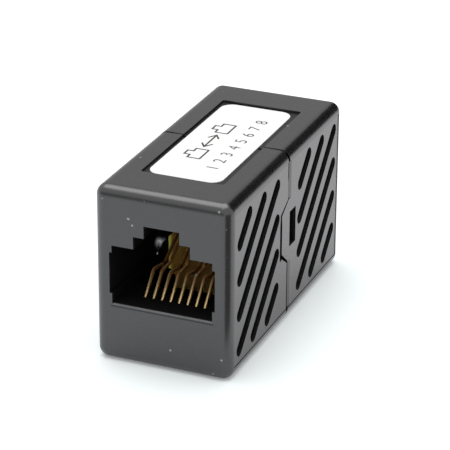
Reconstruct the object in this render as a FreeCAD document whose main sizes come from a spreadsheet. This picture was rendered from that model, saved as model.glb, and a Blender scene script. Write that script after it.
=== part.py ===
import FreeCAD, Part
import math
import os
import Sketcher
from FreeCAD import Placement, Rotation, Vector

# In-line coupler for 8-way modular plugs, in millimetres.
# +Z is up, the origin is under the middle of the base, and X = 0 and Y = 0 are the middle planes.
# Two moulded shells meet at Y = 0 and hold one circuit board upright between them.
# Each shell has a port, and each port has an insert: a carrier with eight sprung wire contacts.
# Every front piece is drawn with its port towards -Y. A rear piece is the same kind of piece,
# turned half a turn about Z by its Placement.

document = FreeCAD.newDocument("inline_coupler")
dim = document.addObject("Spreadsheet::Sheet", "dim")

driving_sizes = (
    ("body_height", 20.7, "outside height of both shells"),
    ("half_length", 17.2, "length of one shell, from the seam to its port face"),
    ("edge_round", 1.25, "radius of the outside edges"),
    ("cheek", 1.8, "from the eased side of the port to the outside of the shell"),
    ("side_wall", 1.4, "thickness of the side, top and bottom walls"),
    ("face_wall", 1.45, "thickness of the wall around the port"),
    ("panel_depth", 0.05, "how far the flat of each side lies inside the rounded edges"),
    ("seam_gap", 0.2, "width of the dark line at the seam"),
    ("seam_depth", 0.6, "depth of the dark line at the seam"),
    ("bevel_width", 0.65, "width of the sloping band beside the seam"),
    ("bevel_depth", 0.12, "depth of that band at the seam"),
    ("port_floor", 7.05, "height of the port's floor above the base"),
    ("port_width", 11.8, "width of the port for the plug's body"),
    ("port_height", 6.9, "height of the port for the plug's body"),
    ("port_ease", 0.3, "how far each side of the port is eased outwards"),
    ("relief_low", 1.2, "height of the lower end of the easing, above the port's floor"),
    ("relief_high", 6.05, "height of the upper end of the easing, above the port's floor"),
    ("step_width", 6.65, "width of the step for the shoulders of the plug's tab"),
    ("step_rise", 1.45, "height of that step"),
    ("tab_width", 4.15, "width of the slot for the plug's tab"),
    ("tab_rise", 1.45, "height of that slot above the step"),
    ("lip_bevel", 0.12, "bevel on the port's lower edge"),
    ("jack_depth", 12.5, "depth of the plug's cavity from the port face"),
    ("rib_wall", 1.2, "thickness of the walls inside, over and beside the cavity"),
    ("ledge_depth", 5.85, "how far the comb ledge reaches in from the port face"),
    ("ledge_thickness", 2.4, "thickness of the comb ledge"),
    ("comb_slot", 0.75, "width of one slot in the comb"),
    ("comb_depth", 1.8, "depth of the slots below the port's floor"),
    ("comb_open", 2.75, "distance from the port face to where the slots open upwards"),
    ("comb_tip", 1.9, "distance from the port face to the front end of the slots"),
    ("comb_lip", 0.8, "thickness of the lip over the contacts' tips"),
    ("groove_width", 1.6, "width of the slanting grip grooves"),
    ("groove_pitch", 4.2, "spacing of the grooves, measured up the side"),
    ("groove_count", 6, "number of grooves on each side of a shell"),
    ("groove_depth", 0.8, "depth of the grooves"),
    ("groove_top_margin", 2.7, "from the top or the base to the nearest groove end"),
    ("groove_face_margin", 2.8, "from the port face to the nearest groove end"),
    ("groove_seam_margin", 3.6, "from the seam to the nearest groove end"),
    ("latch_lift", 0.7, "height of the latches' middle above the middle of the side"),
    ("tongue_length", 2.05, "how far the tongues reach past the seam"),
    ("tongue_root", 7.65, "height of a tongue at the seam"),
    ("tongue_tip", 4.65, "height of a tongue at its tip"),
    ("tongue_tip_lift", 0.2, "how far a tongue's tip is above its root"),
    ("tip_gap", 0.4, "gap at the tip of a tongue"),
    ("low_gap", 0.3, "gap under a tongue, measured up the side"),
    ("high_gap", 0.24, "gap over a tongue, measured up the side"),
    ("window_start", 0.35, "distance from the seam to the latch window"),
    ("window_length", 1.9, "length of the latch window"),
    ("window_height", 4.32, "height of the latch window"),
    ("latch_play", 0.05, "gap between a latch and what it catches or slides on"),
    ("latch_side_play", 0.2, "gap over and under a latch in its window"),
    ("arm_thickness", 1.05, "thickness of a latch's arm"),
    ("barb_recess", 0.6, "how far a latch's barb stays inside the shell's side"),
    ("barb_flat", 0.5, "length of the flat on a barb before its ramp"),
    ("arm_overrun", 0.4, "how far a latch's arm runs past its window"),
    ("board_thickness", 1.6, "thickness of the circuit board"),
    ("board_side_gap", 0.5, "gap beside the circuit board"),
    ("board_notch_gap", 0.2, "gap between the board and the inside of a latch's arm"),
    ("board_end_gap", 0.3, "gap over and under the circuit board"),
    ("board_play", 0.05, "gap between the board and the ribs that trap it"),
    ("board_rib_width", 1.0, "width of those ribs"),
    ("board_rib_height", 2.0, "height of those ribs"),
    ("contact_hole", 0.6, "size of the board's contact holes, across their flats"),
    ("contact_count", 8, "number of contacts in one insert"),
    ("contact_pitch", 1.016, "spacing of the contacts"),
    ("wire_size", 0.36, "side of the contacts' square wire"),
    ("wire_bend", 0.5, "radius of the bends in the contact wire"),
    ("tip_depth", 2.15, "distance from the port face to a contact's tip"),
    ("tip_drop", 1.25, "depth of a contact's tip below the port's floor"),
    ("toe_depth", 2.9, "distance from the port face to the bend beside the tip"),
    ("toe_drop", 1.15, "depth of that bend below the port's floor"),
    ("knee_depth", 5.9, "distance from the port face to the top of the sprung slope"),
    ("knee_rise", 2.0, "height of the top of the sprung slope above the port's floor"),
    ("odd_heel_depth", 8.8, "distance from the port face to where an odd contact climbs"),
    ("odd_heel_rise", 1.45, "height of that place above the port's floor"),
    ("even_heel_depth", 7.9, "distance from the port face to where an even contact climbs"),
    ("even_heel_rise", 2.05, "height of that place above the port's floor"),
    ("odd_row_rise", 3.7, "height of the odd contacts' row of holes above the port's floor"),
    ("row_spacing", 1.1, "height of the even contacts' row above the odd one"),
    ("odd_lead", 1.2, "straight wire in front of the carrier, on an odd contact"),
    ("even_lead", 0.7, "straight wire in front of the carrier, on an even contact"),
    ("tail_length", 0.7, "how far a contact stands out behind the board"),
    ("carrier_side_gap", 0.3, "gap between a contact carrier and the latch arms beside it"),
    ("carrier_height", 4.2, "height of a contact carrier"),
    ("carrier_thickness", 1.4, "thickness of a contact carrier"),
    ("carrier_edge", 0.6, "material below the odd row of holes in a carrier"),
    ("carrier_bevel", 0.3, "bevel on a carrier's two upright front edges"),
    ("carrier_standoff", 1.2, "gap between a carrier and the board"),
    ("wire_play", 0.05, "gap all round a wire in its carrier"),
    ("rail_gap", 0.414, "gap between the outer wires and the rails that seat a carrier on the board"),
    ("peg_size", 0.8, "diameter of a carrier's pegs"),
    ("peg_play", 0.05, "gap all round a peg in the board"),
    ("peg_length", 1.3, "how far a peg reaches into the board"),
    ("peg_rise", 0.55, "height of the lower peg above the odd row of holes"),
    ("peg_spacing", 1.9, "height of one peg above the other"),
    ("solder_size", 0.84, "width of a solder joint on the board, across its flats"),
    ("solder_height", 0.5, "height of a solder joint"),
    ("solder_slope", 20.0, "lean of a solder joint's sides, in degrees"),
    ("solder_play", 0.02, "gap between a solder joint's bore and its wire"),
    ("recess_width", 9.8, "width of the recess for the label"),
    ("recess_length", 23.4, "length of the recess for the label"),
    ("recess_depth", 0.3, "depth of the recess for the label"),
    ("recess_round", 0.3, "radius of the corners of the recess"),
    ("label_width", 8.6, "width of the label"),
    ("label_length", 22.6, "length of the label"),
    ("label_round", 1.5, "radius of the label's corners"),
    ("label_thickness", 0.1, "thickness of the label"),
    ("label_shift_x", -0.17, "how far the label sits off the middle, along X"),
    ("label_shift_y", 0.0, "how far the label sits off the middle, along Y"),
)
for row, (alias, value, meaning) in enumerate(driving_sizes, start=1):
    dim.set(f"A{row}", meaning)
    dim.set(f"B{row}", str(value))
    dim.setAlias(f"B{row}", alias)
document.recompute()

# Places that several pieces share, as expressions on the sheet.
half_width = "(dim.port_width / 2 + dim.port_ease + dim.cheek)"
inner_wall = f"({half_width} - dim.side_wall)"
side_flat = f"({half_width} - dim.panel_depth)"
relief_width = "(dim.port_width + 2 * dim.port_ease)"
inner_top = "(dim.body_height - dim.side_wall)"
jack_back = "(dim.half_length - dim.jack_depth)"
port_ceiling = "(dim.port_floor + dim.port_height)"
latch_middle = "(dim.body_height / 2 + dim.latch_lift)"
window_low = f"({latch_middle} - dim.window_height / 2)"
arm_outside = f"({inner_wall} - dim.latch_play)"
arm_inside = f"({arm_outside} - dim.arm_thickness)"
board_face = "(dim.board_thickness / 2)"
carrier_back = f"({board_face} + dim.carrier_standoff)"
carrier_front = f"({carrier_back} + dim.carrier_thickness)"
odd_row = "(dim.port_floor + dim.odd_row_rise)"
even_row = f"({odd_row} + dim.row_spacing)"
carrier_side = f"({arm_inside} - dim.carrier_side_gap)"
rail_inside = "((dim.contact_count - 1) * dim.contact_pitch / 2 + dim.wire_size / 2 + dim.rail_gap)"
peg_offset = f"({carrier_side} + {rail_inside}) / 2"
low_peg = f"{odd_row} + dim.peg_rise"
high_peg = f"{low_peg} + dim.peg_spacing"
half_turn = Placement(Vector(0, 0, 0), Rotation(Vector(0, 0, 1), 180))


def from_face(depth):
    """Y of a place that lies this deep behind the port face at -Y."""
    return f"({depth}) - dim.half_length"


def contact_x(number):
    """X of a contact, counted from 1 at the -X side."""
    return f"({number} - (dim.contact_count + 1) / 2) * dim.contact_pitch"


def pin_point(sketch, geometry, vertex, across, up):
    """Hold one vertex of a sketch at two expressions, measured from the sketch's origin."""
    for direction, place in (("DistanceX", across), ("DistanceY", up)):
        number = sketch.addConstraint(Sketcher.Constraint(direction, -1, 1, geometry, vertex, 1.0))
        sketch.setExpression(f"Constraints[{number}]", str(place))


def outline(sketch, corners):
    """Closed outline of straight lines through the corners, each a pair of expressions."""
    first = sketch.GeometryCount
    count = len(corners)
    turns = [2 * math.pi * corner / count for corner in range(count + 1)]
    ring = [Vector(math.cos(turn), math.sin(turn), 0) for turn in turns]
    for corner in range(count):
        sketch.addGeometry(Part.LineSegment(ring[corner], ring[corner + 1]))
    for corner, (across, up) in enumerate(corners):
        before = first + (corner - 1) % count
        sketch.addConstraint(Sketcher.Constraint("Coincident", before, 2, first + corner, 1))
        pin_point(sketch, first + corner, 1, across, up)


def rectangle(sketch, left, low, right, high):
    outline(sketch, [(left, low), (right, low), (right, high), (left, high)])


def circle(sketch, across, up, diameter):
    ring = sketch.addGeometry(Part.Circle(Vector(0, 0, 0), Vector(0, 0, 1), 1.0))
    pin_point(sketch, ring, 3, across, up)
    number = sketch.addConstraint(Sketcher.Constraint("Diameter", ring, 2.0))
    sketch.setExpression(f"Constraints[{number}]", diameter)


def square(sketch, across, up, size):
    rectangle(sketch, f"{across} - ({size}) / 2", f"{up} - ({size}) / 2",
              f"{across} + ({size}) / 2", f"{up} + ({size}) / 2")


def octagon(sketch, across, up, size):
    """Eight flats round a centre. size is the width across two opposite flats."""
    corners = []
    for corner in range(8):
        angle = (corner + 0.5) * math.pi / 4
        reach = 0.5 / math.cos(math.pi / 8)
        corners.append((f"{across} + {reach * math.cos(angle):.6f} * {size}",
                        f"{up} + {reach * math.sin(angle):.6f} * {size}"))
    outline(sketch, corners)


def guide_line(sketch, start, end):
    """Construction line between two pinned places."""
    line = sketch.addGeometry(Part.LineSegment(Vector(0, 0, 0), Vector(1, 1, 0)), True)
    pin_point(sketch, line, 1, *start)
    pin_point(sketch, line, 2, *end)
    return line


def round_ended_slot(sketch, guide, width):
    """Slot with round ends, centred on a guide line that is already in place."""
    low, high = sketch.Geometry[guide].StartPoint, sketch.Geometry[guide].EndPoint
    along = (high - low).normalize()
    angle = math.atan2(along.y, along.x)
    axis = Vector(0, 0, 1)
    radius = dim.get(width) / 2
    side = axis.cross(along) * radius
    quarter = math.pi / 2
    low_end = Part.ArcOfCircle(Part.Circle(low, axis, radius), angle + quarter, angle + 3 * quarter)
    high_end = Part.ArcOfCircle(Part.Circle(high, axis, radius), angle - quarter, angle + quarter)
    shapes = (low_end, Part.LineSegment(low - side, high - side),
              high_end, Part.LineSegment(high + side, low + side))
    first = sketch.GeometryCount
    for shape in shapes:
        sketch.addGeometry(shape)
    for piece in range(4):
        following = first + (piece + 1) % 4
        sketch.addConstraint(Sketcher.Constraint("Tangent", first + piece, 2, following, 1))
    sketch.addConstraint(Sketcher.Constraint("Equal", first, first + 2))
    sketch.addConstraint(Sketcher.Constraint("Coincident", first, 3, guide, 1))
    sketch.addConstraint(Sketcher.Constraint("Coincident", first + 2, 3, guide, 2))
    number = sketch.addConstraint(Sketcher.Constraint("Radius", first, radius))
    sketch.setExpression(f"Constraints[{number}]", f"dim.{width} / 2")


def bent_line(sketch, corners, bend):
    """Open path of straight runs, with an arc of one radius at every corner between them."""
    last = len(corners) - 1
    for run in range(last):
        start, end = Vector(run, run % 2, 0), Vector(run + 1, (run + 1) % 2, 0)
        sketch.addGeometry(Part.LineSegment(start, end))
    for run in range(1, last):
        sketch.addConstraint(Sketcher.Constraint("Coincident", run - 1, 2, run, 1))
    for run, (across, up) in enumerate(corners[:-1]):
        pin_point(sketch, run, 1, across, up)
    pin_point(sketch, last - 1, 2, *corners[-1])
    document.recompute()
    for run in range(last - 1):
        arc = sketch.GeometryCount
        sketch.fillet(run, 2, dim.wire_bend, 1, True)
        number = sketch.addConstraint(Sketcher.Constraint("Radius", arc, dim.wire_bend))
        sketch.setExpression(f"Constraints[{number}]", bend)


class Piece:
    """One body of the coupler, with short calls for its sketches and features."""

    def __init__(self, label):
        self.label = label
        self.body = document.addObject("PartDesign::Body", label)
        self.body.Label = label

    def plane(self, role):
        return next(plane for plane in self.body.Origin.OriginFeatures if plane.Role == role)

    def sketch(self, name, role, offset="0"):
        """Sketch on an origin plane, moved along that plane's normal (+X, -Y or +Z)."""
        sketch = self.body.newObject("Sketcher::SketchObject", f"{self.label}_{name}_sketch")
        sketch.AttachmentSupport = [(self.plane(role), "")]
        sketch.MapMode = "FlatFace"
        sketch.setExpression("AttachmentOffset.Base.z", offset)
        return sketch

    def volume(self):
        document.recompute()
        return self.body.Shape.Volume if self.body.Tip else 0.0

    def raise_or_cut(self, kind, name, sketch, length, reverse, both_ways):
        before = self.volume()
        feature = self.body.newObject(f"PartDesign::{kind}", f"{self.label}_{name}")
        feature.Profile = sketch
        feature.setExpression("Length", length)
        feature.Reversed = reverse
        if both_ways:
            feature.SideType = "Symmetric"
        change = self.volume() - before
        if (change > 0) != (kind == "Pad") or abs(change) < 1e-6:
            raise RuntimeError(f"{feature.Name} points away from its body")
        return feature

    def pad(self, name, sketch, length, reverse=False, both_ways=False):
        return self.raise_or_cut("Pad", name, sketch, length, reverse, both_ways)

    def pocket(self, name, sketch, length, reverse=False, both_ways=False):
        return self.raise_or_cut("Pocket", name, sketch, length, reverse, both_ways)

    def both_sides(self, name, features):
        """The same features again on the -X side."""
        mirror = self.body.newObject("PartDesign::Mirrored", f"{self.label}_{name}_both_sides")
        mirror.Originals = features
        mirror.MirrorPlane = (self.plane("YZ_Plane"), [""])
        self.body.Tip = mirror

    def across(self, name, features, spacing, count):
        """A row of the same features along +X."""
        row_of = self.body.newObject("PartDesign::LinearPattern", f"{self.label}_{name}_row")
        row_of.Originals = features
        row_of.Direction = (self.plane("X_Axis"), [""])
        row_of.Mode = "Spacing"
        row_of.setExpression("Offset", spacing)
        row_of.setExpression("Occurrences", count)
        self.body.Tip = row_of

    def finish_edges(self, kind, name, size_name, size, chosen):
        """Fillet or chamfer every edge for which chosen(edge) is true."""
        document.recompute()
        base = self.body.Tip
        names = [f"Edge{number}" for number, edge in enumerate(base.Shape.Edges, start=1) if chosen(edge)]
        feature = self.body.newObject(f"PartDesign::{kind}", f"{self.label}_{name}")
        feature.Base = (base, names)
        feature.setExpression(size_name, size)
        document.recompute()


def near(value, goal):
    return abs(value - goal) < 1e-4


def spans_z(edge):
    return near(abs(edge.BoundBox.ZMax - edge.BoundBox.ZMin), edge.Length)


def port_corners(widths_and_heights):
    """Corners of an outline that is the same on both sides, from its bottom right upwards."""
    right = [(f"({width}) / 2", height) for width, height in widths_and_heights]
    left = [(f"-({width}) / 2", height) for width, height in reversed(widths_and_heights)]
    return right + left


def shell_block(shell):
    """The outside: a block with rounded edges, square at the seam."""
    block = shell.sketch("block", "XZ_Plane")
    rectangle(block, f"-{half_width}", "0", half_width, "dim.body_height")
    shell.pad("block", block, "dim.half_length")
    shell.finish_edges("Fillet", "edges", "Radius", "dim.edge_round",
                       lambda edge: edge.BoundBox.YMin < -1e-4)


def side_flat_and_grooves(shell, lean):
    """The flat panel and the slanting grip grooves on both sides."""
    panel = shell.sketch("panel", "YZ_Plane", half_width)
    rectangle(panel, "dim.edge_round - dim.half_length", "dim.edge_round",
              "dim.edge_round", "dim.body_height - dim.edge_round")
    panel_pocket = shell.pocket("panel", panel, "dim.panel_depth")

    middle = "(dim.groove_face_margin - dim.groove_seam_margin - dim.half_length) / 2"
    run = "((dim.half_length - dim.groove_face_margin - dim.groove_seam_margin) / 2)"
    rise = "(dim.body_height / 2 - dim.groove_top_margin)"
    grooves = shell.sketch("grooves", "YZ_Plane", half_width)
    guides = []
    for number in range(int(dim.groove_count)):
        offset = f"(({number} - (dim.groove_count - 1) / 2) * dim.groove_pitch)"
        low = f"max(-{run}; -{rise} - {offset})"
        high = f"min({run}; {rise} - {offset})"
        start, end = [(f"{middle} + {lean} * {place}", f"dim.body_height / 2 + {offset} + {place}")
                      for place in (low, high)]
        guides.append(guide_line(grooves, start, end))
    document.recompute()
    for guide in guides:
        round_ended_slot(grooves, guide, "groove_width")
    groove_pocket = shell.pocket("grooves", grooves, "dim.groove_depth + dim.panel_depth")
    shell.both_sides("grooves", [panel_pocket, groove_pocket])


def port_and_cavity(shell):
    """The stepped port in the face wall, and the plug's cavity behind it."""
    step_top = f"{port_ceiling} + dim.step_rise"
    tab_top = f"{step_top} + dim.tab_rise"
    relief_low = "dim.port_floor + dim.relief_low"
    relief_high = "dim.port_floor + dim.relief_high"
    body_sides = [("dim.port_width", "dim.port_floor"), ("dim.port_width", relief_low),
                  (relief_width, relief_low), (relief_width, relief_high),
                  ("dim.port_width", relief_high), ("dim.port_width", port_ceiling)]
    tab_sides = [("dim.step_width", port_ceiling), ("dim.step_width", step_top),
                 ("dim.tab_width", step_top), ("dim.tab_width", tab_top)]
    port = shell.sketch("port", "XZ_Plane", "dim.half_length")
    outline(port, port_corners(body_sides + tab_sides))
    shell.pocket("port", port, "dim.face_wall")

    cavity = shell.sketch("cavity", "XZ_Plane", "dim.half_length - dim.face_wall")
    outline(cavity, port_corners(body_sides))
    shell.pocket("cavity", cavity, "dim.jack_depth - dim.face_wall")

    tab_room = shell.sketch("tab_room", "XZ_Plane", "dim.half_length - dim.face_wall")
    rectangle(tab_room, "-dim.step_width / 2", port_ceiling, "dim.step_width / 2", inner_top)
    shell.pocket("tab_room", tab_room, "dim.jack_depth - dim.face_wall")

    side_rooms = shell.sketch("side_rooms", "XZ_Plane", "dim.half_length - dim.face_wall")
    beside = "dim.step_width / 2 + dim.rib_wall"
    over = f"{port_ceiling} + dim.rib_wall"
    rectangle(side_rooms, beside, over, inner_wall, inner_top)
    rectangle(side_rooms, f"-{inner_wall}", over, f"-({beside})", inner_top)
    shell.pocket("side_rooms", side_rooms, "dim.jack_depth - dim.face_wall")


def ledge_and_comb(shell):
    """The pit under the contacts, which leaves the ledge, and the slots that guide their tips."""
    pit = shell.sketch("pit", "YZ_Plane")
    ledge_under = "dim.port_floor - dim.ledge_thickness"
    outline(pit, [(from_face("dim.face_wall"), "dim.side_wall"), (f"-{jack_back}", "dim.side_wall"),
                  (f"-{jack_back}", "dim.port_floor"), (from_face("dim.ledge_depth"), "dim.port_floor"),
                  (from_face("dim.ledge_depth"), ledge_under), (from_face("dim.face_wall"), ledge_under)])
    shell.pocket("pit", pit, relief_width, both_ways=True)

    slot = shell.sketch("comb", "YZ_Plane", contact_x(1))
    slot_floor = "dim.port_floor - dim.comb_depth"
    lip_under = "dim.port_floor - dim.comb_lip"
    outline(slot, [(from_face("dim.comb_tip"), slot_floor), (from_face("dim.ledge_depth"), slot_floor),
                   (from_face("dim.ledge_depth"), "dim.port_floor"),
                   (from_face("dim.comb_open"), "dim.port_floor"),
                   (from_face("dim.comb_open"), lip_under), (from_face("dim.comb_tip"), lip_under)])
    first_slot = shell.pocket("comb", slot, "dim.comb_slot", both_ways=True)
    shell.across("comb", [first_slot], "dim.contact_pitch", "dim.contact_count")

    def port_lip(edge):
        box = edge.BoundBox
        on_face = near(box.YMin, -dim.half_length) and near(box.YMax, -dim.half_length)
        return on_face and near(box.ZMin, dim.port_floor) and near(box.ZMax, dim.port_floor)
    shell.finish_edges("Chamfer", "lip", "Size", "dim.lip_bevel", port_lip)


def board_room(shell):
    """The room behind the cavity, with a rib in each corner that stops just short of the board."""
    room = shell.sketch("board_room", "XZ_Plane")
    rectangle(room, f"-{inner_wall}", "dim.side_wall", inner_wall, inner_top)
    shell.pocket("board_room", room, jack_back, reverse=True)

    ribs = shell.sketch("board_ribs", "XZ_Plane", f"{board_face} + dim.board_play")
    inside = f"{inner_wall} - dim.board_rib_width"
    buried = f"{inner_wall} + dim.side_wall / 2"
    rectangle(ribs, inside, "dim.side_wall / 2", buried, "dim.side_wall + dim.board_rib_height")
    rectangle(ribs, inside, f"{inner_top} - dim.board_rib_height", buried,
              f"{inner_top} + dim.side_wall / 2")
    rib_pad = shell.pad("board_ribs", ribs, f"{jack_back} - {board_face} - dim.board_play")
    shell.both_sides("board_ribs", [rib_pad])


def label_recess(shell):
    recess = shell.sketch("label_recess", "XY_Plane", "dim.body_height")
    rectangle(recess, "-dim.recess_width / 2", "-dim.recess_length / 2", "dim.recess_width / 2", "0")
    shell.pocket("label_recess", recess, "dim.recess_depth")

    def recess_corner(edge):
        return (spans_z(edge) and near(edge.Length, dim.recess_depth)
                and near(edge.BoundBox.YMin, -dim.recess_length / 2))
    shell.finish_edges("Fillet", "recess_corners", "Radius", "dim.recess_round", recess_corner)


def tongue_corners(seam_end, low_gap, high_gap, tip_gap, way):
    """Tongue outline on the side: wide at the seam, narrow at its tip. way is +1 towards +Y."""
    tip = f"{way} * (dim.tongue_length + {tip_gap})"
    tip_middle = f"{latch_middle} + dim.tongue_tip_lift"
    return [(seam_end, f"{latch_middle} - dim.tongue_root / 2 - {low_gap}"),
            ("0", f"{latch_middle} - dim.tongue_root / 2 - {low_gap}"),
            (tip, f"{tip_middle} - dim.tongue_tip / 2 - {low_gap}"),
            (tip, f"{tip_middle} + dim.tongue_tip / 2 + {high_gap}"),
            ("0", f"{latch_middle} + dim.tongue_root / 2 + {high_gap}"),
            (seam_end, f"{latch_middle} + dim.tongue_root / 2 + {high_gap}")]


def common_shell(label, lean):
    shell = Piece(label)
    shell_block(shell)
    side_flat_and_grooves(shell, lean)
    port_and_cavity(shell)
    ledge_and_comb(shell)
    board_room(shell)
    label_recess(shell)
    return shell


def build_front_shell():
    """The shell that carries the sprung latches and has the notches for the tongues."""
    shell = common_shell("front_shell", 1)
    line = shell.sketch("seam_line", "XZ_Plane")
    beyond = "dim.side_wall"
    rectangle(line, f"-{half_width} - {beyond}", f"-{beyond}", f"{half_width} + {beyond}",
              f"dim.body_height + {beyond}")
    rectangle(line, f"dim.seam_depth - {half_width}", "dim.seam_depth", f"{half_width} - dim.seam_depth",
              "dim.body_height - dim.seam_depth")
    shell.pocket("seam_line", line, "dim.seam_gap", reverse=True)

    notch = shell.sketch("notch", "YZ_Plane", half_width)
    outline(notch, tongue_corners("dim.side_wall", "dim.low_gap", "dim.high_gap", "dim.tip_gap", -1))
    notch_pocket = shell.pocket("notch", notch, "dim.side_wall")
    shell.both_sides("notches", [notch_pocket])

    # The arm springs inwards from the end of the cavity block. Its barb drops into the window.
    arm = shell.sketch("latch", "XY_Plane", f"{window_low} + dim.latch_side_play")
    barb = f"{half_width} - dim.barb_recess"
    leaves_wall = "-(dim.tongue_length + dim.tip_gap)"
    catch = "dim.window_start + dim.latch_play"
    window_end = "(dim.window_start + dim.window_length)"
    outline(arm, [(f"{inner_wall} + dim.side_wall / 2", f"-{jack_back}"),
                  (f"{inner_wall} + dim.side_wall / 2", leaves_wall), (arm_outside, leaves_wall),
                  (arm_outside, catch), (barb, catch), (barb, f"{catch} + dim.barb_flat"),
                  (arm_outside, f"{window_end} - dim.latch_side_play"),
                  (arm_outside, f"{window_end} + dim.arm_overrun"),
                  (arm_inside, f"{window_end} + dim.arm_overrun"), (arm_inside, f"-{jack_back}")])
    arm_pad = shell.pad("latch", arm, "dim.window_height - 2 * dim.latch_side_play")
    shell.both_sides("latches", [arm_pad])
    return shell.body


def build_rear_shell():
    """The shell with the tongues that cover the latches, and the windows that hold them."""
    shell = common_shell("rear_shell", -1)
    bevel = shell.sketch("bevel", "XY_Plane", "dim.edge_round")
    outline(bevel, [(side_flat, "-dim.bevel_width"), (f"{side_flat} - dim.bevel_depth", "0"),
                    (f"{half_width} + dim.panel_depth", "0"),
                    (f"{half_width} + dim.panel_depth", "-dim.bevel_width")])
    bevel_pocket = shell.pocket("bevel", bevel, "dim.body_height - 2 * dim.edge_round", reverse=True)
    shell.both_sides("bevels", [bevel_pocket])

    tongue = shell.sketch("tongue", "YZ_Plane", inner_wall)
    outline(tongue, tongue_corners("-dim.bevel_width", "0", "0", "0", 1))
    tongue_pad = shell.pad("tongue", tongue, "dim.side_wall - dim.panel_depth")
    shell.both_sides("tongues", [tongue_pad])

    window = shell.sketch("window", "YZ_Plane", half_width)
    rectangle(window, "-(dim.window_start + dim.window_length)", window_low,
              "-dim.window_start", f"{window_low} + dim.window_height")
    window_pocket = shell.pocket("window", window, "dim.side_wall")
    shell.both_sides("windows", [window_pocket])
    shell.body.Placement = half_turn
    return shell.body


def build_label():
    label = Piece("label")
    blank = label.sketch("blank", "XY_Plane", "dim.body_height - dim.recess_depth")
    rectangle(blank, "dim.label_shift_x - dim.label_width / 2", "dim.label_shift_y - dim.label_length / 2",
              "dim.label_shift_x + dim.label_width / 2", "dim.label_shift_y + dim.label_length / 2")
    label.pad("blank", blank, "dim.label_thickness")
    label.finish_edges("Fillet", "corners", "Radius", "dim.label_round", spans_z)
    return label.body


def build_circuit_board():
    """The upright board, notched for the latch arms, with two rows of contact holes."""
    board = Piece("circuit_board")
    low = "dim.side_wall + dim.board_end_gap"
    high = f"{inner_top} - dim.board_end_gap"
    arm_low = f"{window_low} + dim.latch_side_play"
    arm_high = f"{window_low} + dim.window_height - dim.latch_side_play"
    board_width = f"2 * ({inner_wall} - dim.board_side_gap)"
    notch_width = f"2 * ({arm_inside} - dim.board_notch_gap)"
    blank = board.sketch("blank", "XZ_Plane")
    outline(blank, port_corners([(board_width, low),
                                 (board_width, f"{arm_low} - dim.board_end_gap"),
                                 (notch_width, f"{arm_low} - dim.board_end_gap"),
                                 (notch_width, f"{arm_high} + dim.board_end_gap"),
                                 (board_width, f"{arm_high} + dim.board_end_gap"),
                                 (board_width, high)]))
    board.pad("blank", blank, "dim.board_thickness", both_ways=True)

    holes = board.sketch("contact_holes", "XZ_Plane")
    for row_height in (odd_row, even_row):
        octagon(holes, contact_x(1), row_height, "dim.contact_hole")
    first_holes = board.pocket("contact_holes", holes, "dim.board_thickness", both_ways=True)
    board.across("contact_holes", [first_holes], "dim.contact_pitch", "dim.contact_count")

    pegs = board.sketch("peg_holes", "XZ_Plane")
    for side in ("-", ""):
        for height in (low_peg, high_peg):
            circle(pegs, f"{side}{peg_offset}", height, "dim.peg_size + 2 * dim.peg_play")
    board.pocket("peg_holes", pegs, "dim.board_thickness", both_ways=True)
    return board.body


def build_contact(end, number):
    """One sprung contact: a square wire bent in its own upright plane, from its tail to its tip."""
    contact = Piece(f"{end}_contact_{number}")
    place = contact_x(number)
    if number % 2:
        row_height, lead = odd_row, "dim.odd_lead"
        heel = (from_face("dim.odd_heel_depth"), "dim.port_floor + dim.odd_heel_rise")
    else:
        row_height, lead = even_row, "dim.even_lead"
        heel = (from_face("dim.even_heel_depth"), "dim.port_floor + dim.even_heel_rise")
    tail = f"{board_face} + dim.tail_length"
    path = contact.sketch("path", "YZ_Plane", place)
    bent_line(path, [(tail, row_height), (f"-({carrier_front} + {lead})", row_height), heel,
                     (from_face("dim.knee_depth"), "dim.port_floor + dim.knee_rise"),
                     (from_face("dim.toe_depth"), "dim.port_floor - dim.toe_drop"),
                     (from_face("dim.tip_depth"), "dim.port_floor - dim.tip_drop")], "dim.wire_bend")
    section = contact.sketch("section", "XZ_Plane", f"-({tail})")
    square(section, place, row_height, "dim.wire_size")
    wire = contact.body.newObject("PartDesign::AdditivePipe", f"{contact.label}_wire")
    wire.Profile = section
    wire.Spine = (path, [])
    if end == "rear":
        contact.body.Placement = half_turn
    return contact.body


def build_carrier(end):
    """The block that holds the eight wires in two rows, on two rails with a peg each."""
    carrier = Piece(f"{end}_contact_carrier")
    low = f"({odd_row} - dim.carrier_edge)"
    block = carrier.sketch("block", "XY_Plane", low)
    bevel = "dim.carrier_bevel"
    right = [(rail_inside, f"-{carrier_back}"), (rail_inside, f"-{board_face}"),
             (carrier_side, f"-{board_face}"), (carrier_side, f"{bevel} - {carrier_front}"),
             (f"{carrier_side} - {bevel}", f"-{carrier_front}")]
    left = [(f"-({across})", along) for across, along in reversed(right)]
    outline(block, right + left)
    carrier.pad("block", block, "dim.carrier_height")

    for name, number, height in (("odd_holes", 1, odd_row), ("even_holes", 2, even_row)):
        hole = carrier.sketch(name, "XZ_Plane", carrier_front)
        square(hole, contact_x(number), height, "dim.wire_size + 2 * dim.wire_play")
        first_hole = carrier.pocket(name, hole, "dim.carrier_thickness")
        carrier.across(name, [first_hole], "2 * dim.contact_pitch", "dim.contact_count / 2")

    pegs = carrier.sketch("pegs", "XZ_Plane", board_face)
    circle(pegs, peg_offset, low_peg, "dim.peg_size")
    circle(pegs, f"-{peg_offset}", high_peg, "dim.peg_size")
    carrier.pad("pegs", pegs, "dim.peg_length", reverse=True)
    if end == "rear":
        carrier.body.Placement = half_turn
    return carrier.body


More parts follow.
